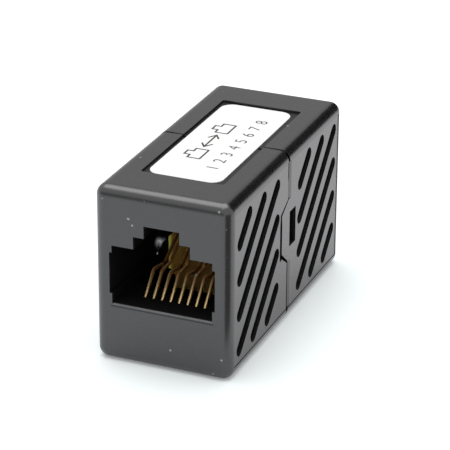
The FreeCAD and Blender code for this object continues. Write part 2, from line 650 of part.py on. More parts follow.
def build_solder_joints(end):
    """Eight tapering joints of solder round the contacts' tails, on the far face of the board."""
    joints = Piece(f"{end}_solder_joints")
    joints.body.AllowCompound = True
    for name, number, height in (("odd", 1, odd_row), ("even", 2, even_row)):
        foot = joints.sketch(f"{name}_foot", "XZ_Plane", f"-{board_face}")
        octagon(foot, contact_x(number), height, "dim.solder_size")
        joint = joints.pad(f"{name}_joint", foot, "dim.solder_height", reverse=True)
        joint.setExpression("TaperAngle", "-dim.solder_slope")
        bore = joints.sketch(f"{name}_bore", "XZ_Plane", f"-{board_face}")
        square(bore, contact_x(number), height, "dim.wire_size + 2 * dim.solder_play")
        bore_pocket = joints.pocket(f"{name}_bore", bore, "dim.solder_height")
        joints.across(name, [joint, bore_pocket], "2 * dim.contact_pitch", "dim.contact_count / 2")
    if end == "rear":
        joints.body.Placement = half_turn
    return joints.body


nodes = [build_front_shell(), build_rear_shell(), build_label(), build_circuit_board()]
for end in ("front", "rear"):
    nodes.append(build_carrier(end))
    nodes.extend(build_contact(end, number) for number in range(1, int(dim.contact_count) + 1))
    nodes.append(build_solder_joints(end))
document.recompute()

for item in document.Objects:
    if "Invalid" in item.State or "Error" in item.State:
        raise RuntimeError(f"{item.Name} did not recompute: {item.State}")
for node in nodes:
    if node.Shape.isNull() or not node.Shape.isValid() or not node.Shape.Solids:
        raise RuntimeError(f"{node.Label} has no valid solid")

os.makedirs("parts", exist_ok=True)
for node in nodes:
    node.Shape.exportStep(f"parts/{node.Label}.step")
    print(f"{node.Label}: {len(node.Shape.Solids)} solid(s), {node.Shape.Volume:.2f} cubic mm")
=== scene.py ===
import math

import bpy
import numpy as np
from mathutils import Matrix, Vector


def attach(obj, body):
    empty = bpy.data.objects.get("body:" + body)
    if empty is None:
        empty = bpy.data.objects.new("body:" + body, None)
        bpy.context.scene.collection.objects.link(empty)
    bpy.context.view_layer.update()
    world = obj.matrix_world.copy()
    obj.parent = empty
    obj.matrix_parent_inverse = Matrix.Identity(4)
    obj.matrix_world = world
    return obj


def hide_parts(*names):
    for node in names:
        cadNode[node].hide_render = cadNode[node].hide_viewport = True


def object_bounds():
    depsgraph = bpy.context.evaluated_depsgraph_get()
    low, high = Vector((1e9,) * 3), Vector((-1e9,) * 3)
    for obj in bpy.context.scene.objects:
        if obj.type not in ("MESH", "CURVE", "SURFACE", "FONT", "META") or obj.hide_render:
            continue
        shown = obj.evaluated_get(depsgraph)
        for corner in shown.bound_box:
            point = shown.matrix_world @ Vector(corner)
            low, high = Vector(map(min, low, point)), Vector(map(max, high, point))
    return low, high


# Black in-line coupler with a modular port at each end, in metres, +Z up, front port towards -Y.
# Lengths in the dictionaries are millimetres unless a line says otherwise.

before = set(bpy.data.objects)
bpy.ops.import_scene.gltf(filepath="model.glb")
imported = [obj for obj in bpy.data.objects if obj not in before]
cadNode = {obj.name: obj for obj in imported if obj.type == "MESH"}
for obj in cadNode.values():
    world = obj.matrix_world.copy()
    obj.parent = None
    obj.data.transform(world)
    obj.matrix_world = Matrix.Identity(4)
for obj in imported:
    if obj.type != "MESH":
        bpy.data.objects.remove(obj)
cadLow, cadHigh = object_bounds()
mm = 0.001
print("frame:", len(cadNode), "nodes")


def put(tree, kind, sockets=None, **settings):
    # adds a shader node; a socket given another node's output is linked, any other value is set on it
    part = tree.nodes.new("ShaderNode" + kind)
    for name, value in settings.items():
        setattr(part, name, value)
    for key, value in (sockets or {}).items():
        if isinstance(value, bpy.types.NodeSocket):
            tree.links.new(value, part.inputs[key])
        else:
            part.inputs[key].default_value = value
    return part


def maths(tree, operation, a, b=0.0, c=0.0):
    # one calculation on up to three values
    return put(tree, "Math", {0: a, 1: b, 2: c}, operation=operation).outputs[0]


def chain(tree, operation, *values):
    # several values taken in turn by one operation
    total = values[0]
    for value in values[1:]:
        total = maths(tree, operation, total, value)
    return total


def vectorMaths(tree, operation, *vectors):
    # one calculation on whole vectors; a length or a distance comes out of "Value", all else out of "Vector"
    node = put(tree, "VectorMath", dict(enumerate(vectors)), operation=operation)
    return node.outputs["Value" if operation in ("LENGTH", "DISTANCE") else "Vector"]


def axesOf(tree, vector):
    # a vector's x, y and z
    return put(tree, "SeparateXYZ", {0: vector}).outputs


def offFrom(tree, value, middle=0.0):
    # how far a value is from middle, either way
    return maths(tree, "ABSOLUTE", maths(tree, "SUBTRACT", value, middle))


def between(tree, value, low, high):
    # 0 at low, 1 at high and smooth in between
    return put(tree, "MapRange", {"Value": value, "From Min": low, "From Max": high},
               interpolation_type="SMOOTHSTEP").outputs[0]


def blendColour(tree, share, a, b):
    # a where share is 0, b where it is 1
    node = put(tree, "Mix", data_type="RGBA", clamp_factor=True)
    for key, value in ((0, share), (6, a), (7, b)):
        if isinstance(value, bpy.types.NodeSocket):
            tree.links.new(value, node.inputs[key])
        else:
            node.inputs[key].default_value = (*value, 1) if isinstance(value, tuple) else value
    return node.outputs[2]


def scaled(tree, place, scale):
    # the same place with its axes multiplied
    return put(tree, "Mapping", {"Vector": place, "Scale": scale}).outputs[0]


def noise(tree, place, scale, detail=2.0, roughness=0.5):
    # cloudy values round 0.5
    return put(tree, "TexNoise", {"Vector": place, "Scale": scale, "Detail": detail,
                                  "Roughness": roughness}).outputs[0]


def bump(tree, height, rise, under=None):
    # a bumpy normal; rise is in millimetres, and under is the normal of a coarser bump below it
    sockets = {"Height": height, "Distance": rise * mm, "Strength": 1.0}
    if under is not None:
        sockets["Normal"] = under
    return put(tree, "Bump", sockets).outputs[0]


def newMaterial(name):
    # a material whose patterns read Object coordinates in millimetres; its glow isn't sampled as a lamp
    material = bpy.data.materials.new(name)
    material.use_nodes = True
    material.cycles.emission_sampling = "NONE"
    tree = material.node_tree
    tree.nodes.clear()
    return material, tree, scaled(tree, put(tree, "TexCoord").outputs["Object"], (1 / mm, 1 / mm, 1 / mm))


def finishMaterial(tree, shader):
    # joins a shader to the material's surface
    put(tree, "OutputMaterial", {"Surface": shader})


shellForm = {"half": (8.0, 17.2, 10.35), "edgeRound": 1.25}


def depthInside(tree, place):
    # how far a point lies inside the shells' rounded box, in millimetres: minus the box's signed distance
    inner = tuple(part - shellForm["edgeRound"] for part in shellForm["half"])
    centred = vectorMaths(tree, "SUBTRACT", place, (0, 0, shellForm["half"][2]))
    past = vectorMaths(tree, "SUBTRACT", vectorMaths(tree, "ABSOLUTE", centred), inner)
    length = vectorMaths(tree, "LENGTH", vectorMaths(tree, "MAXIMUM", past, (0, 0, 0)))
    nearest = chain(tree, "MAXIMUM", *axesOf(tree, past))
    distance = maths(tree, "ADD", length, maths(tree, "MINIMUM", nearest, 0.0))
    return maths(tree, "SUBTRACT", shellForm["edgeRound"], distance)


# each spot is x, y, z and its radius
dustSpots = ((-3.85, -17.2, 17.45, 0.20), (-3.4, -17.2, 16.75, 0.17), (1.0, -17.2, 2.65, 0.16),
             (7.0, -17.2, 2.65, 0.17), (6.0, -17.15, 0.75, 0.15), (5.0, 7.0, 20.7, 0.17), (-6.5, -8.2, 20.7, 0.14),
             (-6.9, -17.2, 19.3, 0.10), (6.6, -17.0, 19.95, 0.20), (7.1, -16.95, 19.7, 0.16))
# spots on the latch arm inside the front port where light leaking in through the latch gaps is painted, pale and
# faintly glowing
paintedLeakSpots = ((-5.85, -5.2, 7.88, 0.24), (-6.25, -5.2, 7.88, 0.18))
lightLeakSpots = ((-5.78, -4.7, 9.05, 0.9), (-5.85, -4.3, 8.8, 1.0), (-6.3, -3.5, 8.5, 1.0), (-6.6, -2.7, 8.15, 0.9))
wireSpots = ((1.5, -11.25, 9.2, 0.22), (-1.6, -11.3, 9.1, 0.16))
spotRim = {"crisp": 0.4, "soft": 0.05, "ragged": 0.22, "even": 0.05, "wanderPerMm": 9.0}


def flecks(tree, place, spots, rim=spotRim["crisp"], wild=spotRim["ragged"]):
    # 1 on each listed spot, falling to 0 from rim times its radius to its radius, with places shifted by a noise
    wander = put(tree, "TexNoise", {"Vector": place, "Scale": spotRim["wanderPerMm"], "Detail": 2.0}).outputs["Color"]
    shift = vectorMaths(tree, "SUBTRACT", wander, (0.5, 0.5, 0.5))
    ragged = vectorMaths(tree, "MULTIPLY_ADD", shift, (wild, wild, wild), place)
    total = 0.0
    for x, y, z, radius in spots:
        away = vectorMaths(tree, "DISTANCE", ragged, (x, y, z))
        total = maths(tree, "MAXIMUM", total, between(tree, away, radius, radius * rim))
    return total


seam = {"middle": -0.10, "halfWide": 0.13, "soft": 0.03, "lowWider": 0.09, "lowMiddle": 12.3, "lowFrom": (4.6, 5.4),
        "tongueMiddle": 11.05, "tongueFrom": (3.80, 3.95), "topShare": 0.42, "topFrom": (5.0, 6.6),
        "belowTop": (20.55, 20.35)}
tipGap = {"near": -2.53, "far": -1.96, "soft": (0.012, 0.004), "below": (13.5, 12.3), "above": (8.0, 8.4)}


def gapShade(tree, place):
    # 1 where black shade is painted: the walls of the seam's line, a narrow band of the faces beside it, and the gap
    #                                 at the tongues' tips; the seam fades across the top
    across, along, up = axesOf(tree, place)
    low = between(tree, offFrom(tree, up, seam["lowMiddle"]), *seam["lowFrom"])
    wide = maths(tree, "MULTIPLY_ADD", low, seam["lowWider"], seam["halfWide"])
    line = between(tree, maths(tree, "SUBTRACT", offFrom(tree, along, seam["middle"]), wide), seam["soft"], 0.0)
    onTop = maths(tree, "MULTIPLY", between(tree, offFrom(tree, across), *seam["topFrom"]), seam["topShare"])
    shown = maths(tree, "MAXIMUM", onTop, between(tree, up, *seam["belowTop"]))
    offTongue = between(tree, offFrom(tree, up, seam["tongueMiddle"]), *seam["tongueFrom"])
    middle, half = (tipGap["near"] + tipGap["far"]) / 2, (tipGap["far"] - tipGap["near"]) / 2
    tip = between(tree, offFrom(tree, along, middle), half + tipGap["soft"][0], half + tipGap["soft"][1])
    level = maths(tree, "MULTIPLY", between(tree, up, *tipGap["below"]), between(tree, up, *tipGap["above"]))
    return maths(tree, "MAXIMUM", chain(tree, "MULTIPLY", line, shown, offTongue),
                 maths(tree, "MULTIPLY", tip, level))


# a painted dark line of shade under each port's lower edge
shadeUnderPort = {"low": 6.66, "high": 6.80, "soft": 0.05, "reach": (6.15, 6.0), "onFace": (16.9, 17.1), "share": 0.45}
# a painted highlight band on each port's lower bevel
portBevelHighlight = {"low": 6.90, "high": 7.02, "soft": 0.03, "reach": (6.05, 5.9), "onFace": (17.0, 17.08)}
panelEdge = {"reach": 15.9, "low": 1.35, "high": 19.35, "soft": (0.07, 0.02), "onFace": (7.85, 7.95), "share": 0.28}


def alongPort(tree, place, band):
    # 1 on a level band along each port's lower edge, on the end faces alone
    across, along, up = axesOf(tree, place)
    middle, half = (band["low"] + band["high"]) / 2, (band["high"] - band["low"]) / 2
    line = between(tree, offFrom(tree, up, middle), half + band["soft"], half)
    wide = between(tree, offFrom(tree, across), *band["reach"])
    return chain(tree, "MULTIPLY", line, wide, between(tree, offFrom(tree, along), *band["onFace"]))


def panelLine(tree, place):
    # 1 on the fine witness line that runs round each long side, just inside its rounded edges
    across, along, up = axesOf(tree, place)
    past = chain(tree, "MAXIMUM", maths(tree, "SUBTRACT", offFrom(tree, along), panelEdge["reach"]),
                 maths(tree, "SUBTRACT", panelEdge["low"], up), maths(tree, "SUBTRACT", up, panelEdge["high"]))
    line = between(tree, offFrom(tree, past), *panelEdge["soft"])
    return maths(tree, "MULTIPLY", line, between(tree, offFrom(tree, across), *panelEdge["onFace"]))


plastic = {"colour": (0.004, 0.004, 0.0046), "pale": (0.008, 0.008, 0.009), "paleFrom": (0.35, 0.75),
           "wearAndHighlight": (0.10, 0.10, 0.105), "highlightLift": (1.4, -0.1), "deep": (0.002, 0.002, 0.002),
           "dull": (0.003, 0.003, 0.003, 1), "dullShare": 0.85, "paintedLightLeak": (0.75, 0.75, 0.78),
           "dust": (0.30, 0.31, 0.33), "motePerMm": 0.3, "moteSize": (0.028, 0.012), "moteShare": 0.5,
           "roughness": 0.27, "inRoughness": 0.75, "roughSpread": 0.02, "shine": 1.8, "crevice": (0.15, 0.45),
           "grainPerMm": 9.0, "grainHeight": 0.0005, "wavePerMm": 0.35, "waveHeight": 0.010, "cloudPerMm": 0.9,
           "streakPerMm": 1.6, "streakShape": (3.0, 3.0, 0.5), "lightLeakGlow": 0.18, "lightLeakColour": (0.9, 0.95, 1.0, 1)}


def blackPlastic():
    # satin black moulding: fine grain, slow waves from moulding and a little dust, with painted shade in its gaps
    # and under the ports, and painted light on the port bevels and on the latch arm inside the front port
    material, tree, place = newMaterial("blackPlastic")
    cloud = noise(tree, place, plastic["cloudPerMm"], 4.0, 0.62)
    streak = noise(tree, scaled(tree, place, plastic["streakShape"]), plastic["streakPerMm"], 3.0)
    # painted shade: black on the seam and in the gaps at the tongues' tips
    paintedGapShade = gapShade(tree, place)
    # painted shade: black, matt and rough from a little way into each gap or recess, and wherever the gap shade is
    # painted
    paintedShadeInside = maths(tree, "MAXIMUM", between(tree, depthInside(tree, place), *plastic["crevice"]), paintedGapShade)
    cells = put(tree, "TexVoronoi", {"Vector": place, "Scale": plastic["motePerMm"], "Randomness": 1.0}).outputs[0]
    motes = maths(tree, "MULTIPLY", between(tree, cells, *plastic["moteSize"]), plastic["moteShare"])
    dust = maths(tree, "MULTIPLY", maths(tree, "MAXIMUM", flecks(tree, place, dustSpots), motes),
                 maths(tree, "SUBTRACT", 1.0, paintedShadeInside))
    # painted light: pale colour and a faint glow on the leak spots
    paintedLightLeak = maths(tree, "MAXIMUM", flecks(tree, place, paintedLeakSpots),
                   flecks(tree, place, lightLeakSpots, spotRim["soft"], spotRim["even"]))
    paleShare = put(tree, "MapRange", {"Value": cloud, "From Min": plastic["paleFrom"][0],
                                       "From Max": plastic["paleFrom"][1]}).outputs[0]
    # painted highlight: each port's lower bevel is lightened towards pale grey, more where the cloud is high
    wearAndHighlight = maths(tree, "MULTIPLY", alongPort(tree, place, portBevelHighlight),
                 maths(tree, "MULTIPLY_ADD", cloud, *plastic["highlightLift"]))
    colour = blendColour(tree, paleShare, plastic["colour"], plastic["pale"])
    for share, layer in ((wearAndHighlight, "wearAndHighlight"), (dust, "dust"), (paintedShadeInside, "deep"), (paintedLightLeak, "paintedLightLeak")):
        colour = blendColour(tree, share, colour, plastic[layer])
    spread = plastic["roughSpread"]
    rough = maths(tree, "MULTIPLY_ADD", cloud, spread, plastic["roughness"] - spread)
    rough = maths(tree, "MULTIPLY_ADD", streak, spread, rough)
    rough = maths(tree, "MULTIPLY_ADD", paintedShadeInside, plastic["inRoughness"] - plastic["roughness"], rough)
    slow = bump(tree, noise(tree, place, plastic["wavePerMm"]), plastic["waveHeight"])
    fine = bump(tree, noise(tree, place, plastic["grainPerMm"], 3.0, 0.6), plastic["grainHeight"], slow)
    moulded = put(tree, "BsdfPrincipled", {"Base Color": colour, "Roughness": rough, "Normal": fine,
                                           "IOR": plastic["shine"], "Emission Color": plastic["lightLeakColour"],
                                           "Emission Strength": maths(tree, "MULTIPLY", paintedLightLeak, plastic["lightLeakGlow"])})
    dull = put(tree, "BsdfDiffuse", {"Color": plastic["dull"]})
    # painted shade: the inside share is mixed to a black matt shader, except where the light leak is painted
    paintedShadeShare = maths(tree, "MULTIPLY", maths(tree, "SUBTRACT", paintedShadeInside, paintedLightLeak), plastic["dullShare"])
    # painted shade: a dark matt line just below each port's lower bevel, on the end faces
    under = maths(tree, "MULTIPLY", alongPort(tree, place, shadeUnderPort), shadeUnderPort["share"])
    share = chain(tree, "MAXIMUM", paintedShadeShare, paintedGapShade, under,
                  maths(tree, "MULTIPLY", panelLine(tree, place), panelEdge["share"]))
    finishMaterial(tree, put(tree, "MixShader", {0: share, 1: moulded.outputs[0], 2: dull.outputs[0]}).outputs[0])
    return material


def plainFinish(name, colour, roughness, metallic=0.0, mottle=0.15, scale=2.0, rise=0.001):
    # one colour, darker by up to mottle in slow clouds, over a fine surface of six times their scale
    material, tree, place = newMaterial(name)
    cloud = noise(tree, place, scale, 3.0)
    dark = tuple(part * (1 - mottle) for part in colour)
    rough = maths(tree, "MULTIPLY_ADD", cloud, 0.2, roughness - 0.1)
    shader = put(tree, "BsdfPrincipled", {"Base Color": blendColour(tree, cloud, dark, colour), "Roughness": rough,
                                          "Metallic": metallic,
                                          "Normal": bump(tree, noise(tree, place, scale * 6), rise)})
    finishMaterial(tree, shader.outputs[0])
    return material


gold = {"bright": (1.0, 0.73, 0.35), "dull": (0.92, 0.40, 0.13), "pale": (1.0, 0.72, 0.40),
        "wearAndHighlight": (0.50, 0.22, 0.07), "paintedFlankShade": (0.20, 0.085, 0.02), "paintedShelfHighlight": (1.0, 0.54, 0.20),
        "glint": (0.85, 0.95, 0.85), "brightRough": 0.28, "dullRough": 0.45, "brightMetal": 0.56,
        "dullMetal": 0.25, "plated": (11.1, 12.2),
        "widens": (11.2, 14.2), "flankFrom": (0.66, -0.26), "flankSoft": 0.25, "flankShare": 0.85,
        "shelfFacing": (0.55, 0.9), "shelfNear": (11.3, 11.0), "shelfFar": (8.9, 9.3),
        "cloudPerMm": 1.7, "wornShare": 0.20, "patchShape": (1.6, 0.8, 0.8), "patchFrom": (0.53, 0.60),
        "patchShare": 0.8, "drawnShape": (14.0, 1.0, 1.0), "drawnPerMm": 1.5, "drawnRough": 0.04,
        "drawnHeight": 0.0005}


def goldWire():
    # gold plate on the sprung slope, and bare copper alloy from its top back to the board, with painted shade on one
    # side and painted highlights
    material, tree, place = newMaterial("goldWire")
    lengthwise = offFrom(tree, axesOf(tree, place)[1])
    plated = between(tree, lengthwise, *gold["plated"])
    widening = between(tree, lengthwise, *gold["widens"])
    cloud = noise(tree, place, gold["cloudPerMm"], 3.0)
    drawn = noise(tree, scaled(tree, place, gold["drawnShape"]), gold["drawnPerMm"])
    patch = between(tree, noise(tree, scaled(tree, place, gold["patchShape"]), 1.0, 1.0), *gold["patchFrom"])
    facing = axesOf(tree, put(tree, "TexCoord").outputs["Normal"])
    # painted shade: the side of each wire that faces +X turns brown, across more of the wire near the knee than near
    # the tip
    past = maths(tree, "SUBTRACT", facing[0], maths(tree, "MULTIPLY_ADD", widening, *gold["flankFrom"]))
    paintedFlankShade = maths(tree, "MULTIPLY", between(tree, past, 0.0, gold["flankSoft"]), gold["flankShare"])
    # painted highlight: the up-facing tops of the leads between heel and knee turn pale orange
    paintedShelfHighlight = chain(tree, "MULTIPLY", between(tree, facing[2], *gold["shelfFacing"]),
                  between(tree, lengthwise, *gold["shelfNear"]), between(tree, lengthwise, *gold["shelfFar"]))
    colour = blendColour(tree, plated, gold["dull"], gold["bright"])
    # painted highlights: pale patches on the unplated part where the stretched noise is high
    paintedGlintPatches = maths(tree, "MULTIPLY", patch, maths(tree, "SUBTRACT", gold["patchShare"], plated))
    wearAndHighlight = maths(tree, "MULTIPLY", cloud, gold["wornShare"])
    for share, layer in ((paintedGlintPatches, "pale"), (wearAndHighlight, "wearAndHighlight"), (paintedFlankShade, "paintedFlankShade"), (paintedShelfHighlight, "paintedShelfHighlight"),
                         (flecks(tree, place, wireSpots), "glint")):
        colour = blendColour(tree, share, colour, gold[layer])
    rough = maths(tree, "MULTIPLY_ADD", plated, gold["brightRough"] - gold["dullRough"], gold["dullRough"])
    rough = maths(tree, "MULTIPLY_ADD", drawn, gold["drawnRough"],
                  maths(tree, "SUBTRACT", rough, gold["drawnRough"] / 2))
    metal = maths(tree, "MULTIPLY_ADD", plated, gold["brightMetal"] - gold["dullMetal"], gold["dullMetal"])
    shader = put(tree, "BsdfPrincipled", {"Base Color": colour, "Roughness": rough, "Metallic": metal,
                                          "Normal": bump(tree, drawn, gold["drawnHeight"])})
    finishMaterial(tree, shader.outputs[0])
    return material


laminate = {"mask": (0.72, 0.55, 0.26), "deep": (0.48, 0.33, 0.14), "through": (1.0, 0.76, 0.38), "letThrough": 0.55,
            "limeMask": (0.86, 0.88, 0.30), "limeThrough": (1.0, 1.0, 0.40), "limeFrom": (5.95, 6.35),
            "paintedBacklightColour": (0.86, 0.92, 0.24, 1), "paintedBacklightGlow": 0.17, "weavePerMm": 2.1, "weaveHeight": 0.004,
            "weaveShare": 0.3, "cloudPerMm": 0.8, "cloudShare": 0.6, "roughness": 0.30}


def boardLaminate():
    # olive mask over woven glass, which lets some light through from behind; near the upright edges it turns lime and
    # glows faintly, painted light for light shining through from behind;
    # the weave is the product of a sine across the board and a sine up it
    material, tree, place = newMaterial("boardLaminate")
    axes = axesOf(tree, place)
    warp, weft = (maths(tree, "SINE", maths(tree, "MULTIPLY", axes[axis], laminate["weavePerMm"] * math.tau))
                  for axis in (0, 2))
    weave = maths(tree, "MULTIPLY_ADD", maths(tree, "MULTIPLY", warp, weft), 0.25, 0.5)
    cloud = maths(tree, "MULTIPLY", noise(tree, place, laminate["cloudPerMm"], 4.0), laminate["cloudShare"])
    colour = blendColour(tree, maths(tree, "MULTIPLY_ADD", weave, laminate["weaveShare"], cloud),
                         laminate["deep"], laminate["mask"])
    # painted light: near the upright edges the mask turns lime and glows faintly
    paintedBacklight = between(tree, offFrom(tree, axes[0]), *laminate["limeFrom"])
    colour = blendColour(tree, paintedBacklight, colour, laminate["limeMask"])
    behind = blendColour(tree, paintedBacklight, laminate["through"], laminate["limeThrough"])
    face = put(tree, "BsdfPrincipled", {"Base Color": colour, "Roughness": laminate["roughness"],
                                        "Normal": bump(tree, weave, laminate["weaveHeight"]),
                                        "Emission Color": laminate["paintedBacklightColour"],
                                        "Emission Strength": maths(tree, "MULTIPLY", paintedBacklight, laminate["paintedBacklightGlow"])})
    through = put(tree, "BsdfTranslucent", {"Color": behind})
    finishMaterial(tree, put(tree, "MixShader", {0: laminate["letThrough"], 1: face.outputs[0],
                                                 2: through.outputs[0]}).outputs[0])
    return material


film = {"colour": (0.82, 0.82, 0.815), "wearAndHighlight": (0.74, 0.74, 0.72), "wornShare": 0.35, "roughness": 0.42,
        "fibrePerMm": 6.0, "fibreHeight": 0.0015, "wavePerMm": 0.25, "waveHeight": 0.03}


def labelFilm():
    # white film with a soft satin coat, greyer in slow clouds, over fine fibres and slow waves
    material, tree, place = newMaterial("labelFilm")
    slow = noise(tree, place, film["wavePerMm"])
    colour = blendColour(tree, maths(tree, "MULTIPLY", slow, film["wornShare"]), film["colour"], film["wearAndHighlight"])
    fibre = bump(tree, noise(tree, place, film["fibrePerMm"], 4.0, 0.7), film["fibreHeight"])
    shader = put(tree, "BsdfPrincipled", {"Base Color": colour, "Roughness": film["roughness"],
                                          "Normal": bump(tree, slow, film["waveHeight"], fibre)})
    finishMaterial(tree, shader.outputs[0])
    return material


def dress(name, material):
    # gives a CAD node one finish
    slots = cadNode[name].data.materials
    slots.clear()
    slots.append(material)


def newPiece(name, verts, faces, slotName, material, smooth=True):
    # a mesh piece that rides with the coupler; verts are in millimetres
    mesh = bpy.data.meshes.new(name)
    mesh.from_pydata((np.asarray(verts, float) * mm).tolist(), [], [tuple(face) for face in faces])
    mesh.polygons.foreach_set("use_smooth", np.full(len(mesh.polygons), smooth))
    mesh.materials.append(material)
    mesh.update()
    piece = bpy.data.objects.new(name, mesh)
    bpy.context.scene.collection.objects.link(piece)
    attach(piece, "root")
    return piece


black = blackPlastic()
for shell in ("front_shell", "rear_shell"):
    dress(shell, black)
carrierFinish = plainFinish("carrierPlastic", (0.010, 0.010, 0.010), 0.4)
for end in ("front", "rear"):
    dress(f"{end}_contact_carrier", carrierFinish)
boardFinish = boardLaminate()
dress("circuit_board", boardFinish)
dress("label", labelFilm())
inkFinish = plainFinish("printInk", (0.035, 0.035, 0.038), 0.5, mottle=0.3, scale=5.0, rise=0.0005)
goldFinish = goldWire()
padFinish = plainFinish("tinnedPad", (0.70, 0.62, 0.42), 0.35, metallic=0.9)
trackFinish = plainFinish("maskedTrack", (0.34, 0.42, 0.08), 0.30)
solderFinish = plainFinish("solder", (0.62, 0.62, 0.60), 0.28, metallic=1.0)
print("finishes ready")


# each of heel, knee, toe and tip is (y, z) along the front contacts' path
contact = {"count": 8, "pitch": 1.016, "thickness": 0.37, "bend": 0.75, "bendMost": 0.48,
           "tailY": 1.5, "oddRow": 10.75, "evenRow": 11.85,
           "oddLeadY": -4.6, "evenLeadY": -4.1, "oddHeel": (-8.4, 8.5), "evenHeel": (-9.3, 9.1),
           "knee": (-11.3, 9.05), "toe": (-14.3, 5.9), "tip": (-15.05, 5.8),
           "stepsInBend": 12, "around": 20, "squareness": 2.6, "capSteps": 5, "capOpen": 0.12, "capDepth": 0.3}


def roundedPath(corners, radius, steps):
    # polyline with each inner corner turned into an arc: its centre lies on the half angle, radius / cos(half turn)
    # inward, and the radius shrinks so that an arc takes at most a share bendMost of either leg
    corners = np.asarray(corners, float)
    legs = np.diff(corners, axis=0)
    lengths = np.linalg.norm(legs, axis=1, keepdims=True)
    legs /= lengths
    before, after = legs[:-1], legs[1:]
    half = np.arccos(np.clip((before * after).sum(1, keepdims=True), -1, 1)) / 2
    fit = np.minimum(lengths[:-1], lengths[1:]) * contact["bendMost"]
    radii = np.minimum(radius, fit / np.tan(half))
    inward = after - before
    inward /= np.linalg.norm(inward, axis=1, keepdims=True)
    centre = corners[1:-1] + inward * radii / np.cos(half)
    forward = before + after
    forward /= np.linalg.norm(forward, axis=1, keepdims=True)
    sweep = np.linspace(-1, 1, steps)[None, :, None] * half[:, None, :]
    arcs = centre[:, None] + radii[:, None] * (np.sin(sweep) * forward[:, None] - np.cos(sweep) * inward[:, None])
    return np.vstack([corners[:1], arcs.reshape(-1, corners.shape[1]), corners[-1:]])


def gridFaces(rows, columns):
    # quads of a grid whose columns run round the section
    row, column = np.meshgrid(np.arange(rows - 1), np.arange(columns), indexing="ij")
    beside = (column + 1) % columns
    a, b = row * columns + column, row * columns + beside
    return np.stack([a, b, b + columns, a + columns], -1).reshape(-1, 4)


def tubeFaces(rows, around):
    # the sides of a tube of rows rings, and one face over each end
    last = rows * around
    return [tuple(face) for face in gridFaces(rows, around)] + [tuple(range(around))[::-1],
                                                                tuple(range(last - around, last))]


def wireSurface(pathYZ, x, size, around):
    # a superellipse carried along a path in the upright plane at x; near each end it shrinks along a quarter turn
    caps = contact["capSteps"]
    path = np.asarray(pathYZ)
    step = np.gradient(path, axis=0)
    step /= np.linalg.norm(step, axis=1, keepdims=True)
    capTurn = np.linspace(contact["capOpen"], math.pi / 2, caps + 1)[:-1]
    inset = size * contact["capDepth"] * (1 - np.cos(capTurn))[:, None]
    startCap = path[0] + step[0] * inset
    endCap = (path[-1] - step[-1] * inset)[::-1]
    path = np.vstack([startCap, path[1:-1], endCap])
    step = np.vstack([np.repeat(step[:1], caps, 0), step[1:-1], np.repeat(step[-1:], caps, 0)])
    capWidth = np.sin(capTurn) ** 0.5
    width = np.concatenate([capWidth, np.ones(len(path) - 2 * caps), capWidth[::-1]])
    turn = np.linspace(0, math.tau, around, endpoint=False)
    power = 2 / contact["squareness"]
    across = np.sign(np.cos(turn)) * np.abs(np.cos(turn)) ** power * size / 2
    up = np.sign(np.sin(turn)) * np.abs(np.sin(turn)) ** power * size / 2
    normal = np.stack([-step[:, 1], step[:, 0]], 1)
    yz = path[:, None] + normal[:, None] * up[None, :, None] * width[:, None, None]
    xs = x + across[None, :] * width[:, None]
    return np.concatenate([xs[..., None], yz], -1).reshape(-1, 3), tubeFaces(len(path), around)


def outwards(verts, faces):
    # turns the faces over if the closed surface encloses a negative volume
    quads = np.array([face for face in faces if len(face) == 4])
    a, b, c, d = (verts[quads[:, corner]] for corner in range(4))
    middle = verts.mean(0)
    volume = (np.cross(b - a, c - a) * (a - middle)).sum() + (np.cross(c - a, d - a) * (a - middle)).sum()
    return faces if volume > 0 else [tuple(face)[::-1] for face in faces]


def turned(verts):
    # the same points half a turn round Z, for the rear end
    return verts * (-1, -1, 1)


def wirePlace(number):
    # x and z of one contact's tail in the board
    row = contact["oddRow"] if number % 2 else contact["evenRow"]
    return (number - (contact["count"] + 1) / 2) * contact["pitch"], row


numbers = range(1, contact["count"] + 1)
for number in numbers:
    x, row = wirePlace(number)
    kind = "odd" if number % 2 else "even"
    corners = [(contact["tailY"], row), (contact[kind + "LeadY"], row), contact[kind + "Heel"],
               contact["knee"], contact["toe"], contact["tip"]]
    path = roundedPath(corners, contact["bend"], contact["stepsInBend"])
    verts, faces = wireSurface(path, x, contact["thickness"], contact["around"])
    faces = outwards(verts, faces)
    for end, place in (("front", verts), ("rear", turned(verts))):
        wire = newPiece(f"{end}ContactWire{number}", place, faces, "contact_metal", goldFinish)
        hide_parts(f"{end}_contact_{number}")
print("contacts bent")


solder = {"faceY": 0.8, "height": 0.5, "foot": 0.42, "neck": 0.21, "fall": 2.2, "steps": 10, "around": 24}


def revolved(profile, centreX, centreZ, around):
    # a profile of (radius, y) turned round an axis along Y, with a face over each end
    turn = np.linspace(0, math.tau, around, endpoint=False)
    radius, y = np.asarray(profile).T
    verts = np.stack([centreX + radius[:, None] * np.cos(turn), np.repeat(y[:, None], around, 1),
                      centreZ + radius[:, None] * np.sin(turn)], -1).reshape(-1, 3)
    return verts, tubeFaces(len(radius), around)


def joined(parts):
    # several pieces' points and faces as one
    verts, faces, count = [], [], 0
    for partVerts, partFaces in parts:
        verts.append(partVerts)
        faces += [tuple(corner + count for corner in face) for face in partFaces]
        count += len(partVerts)
    return np.vstack(verts), faces


def merged(parts):
    # the same for closed surfaces, each with its faces turned outwards first
    return joined((verts, outwards(verts, faces)) for verts, faces in parts)


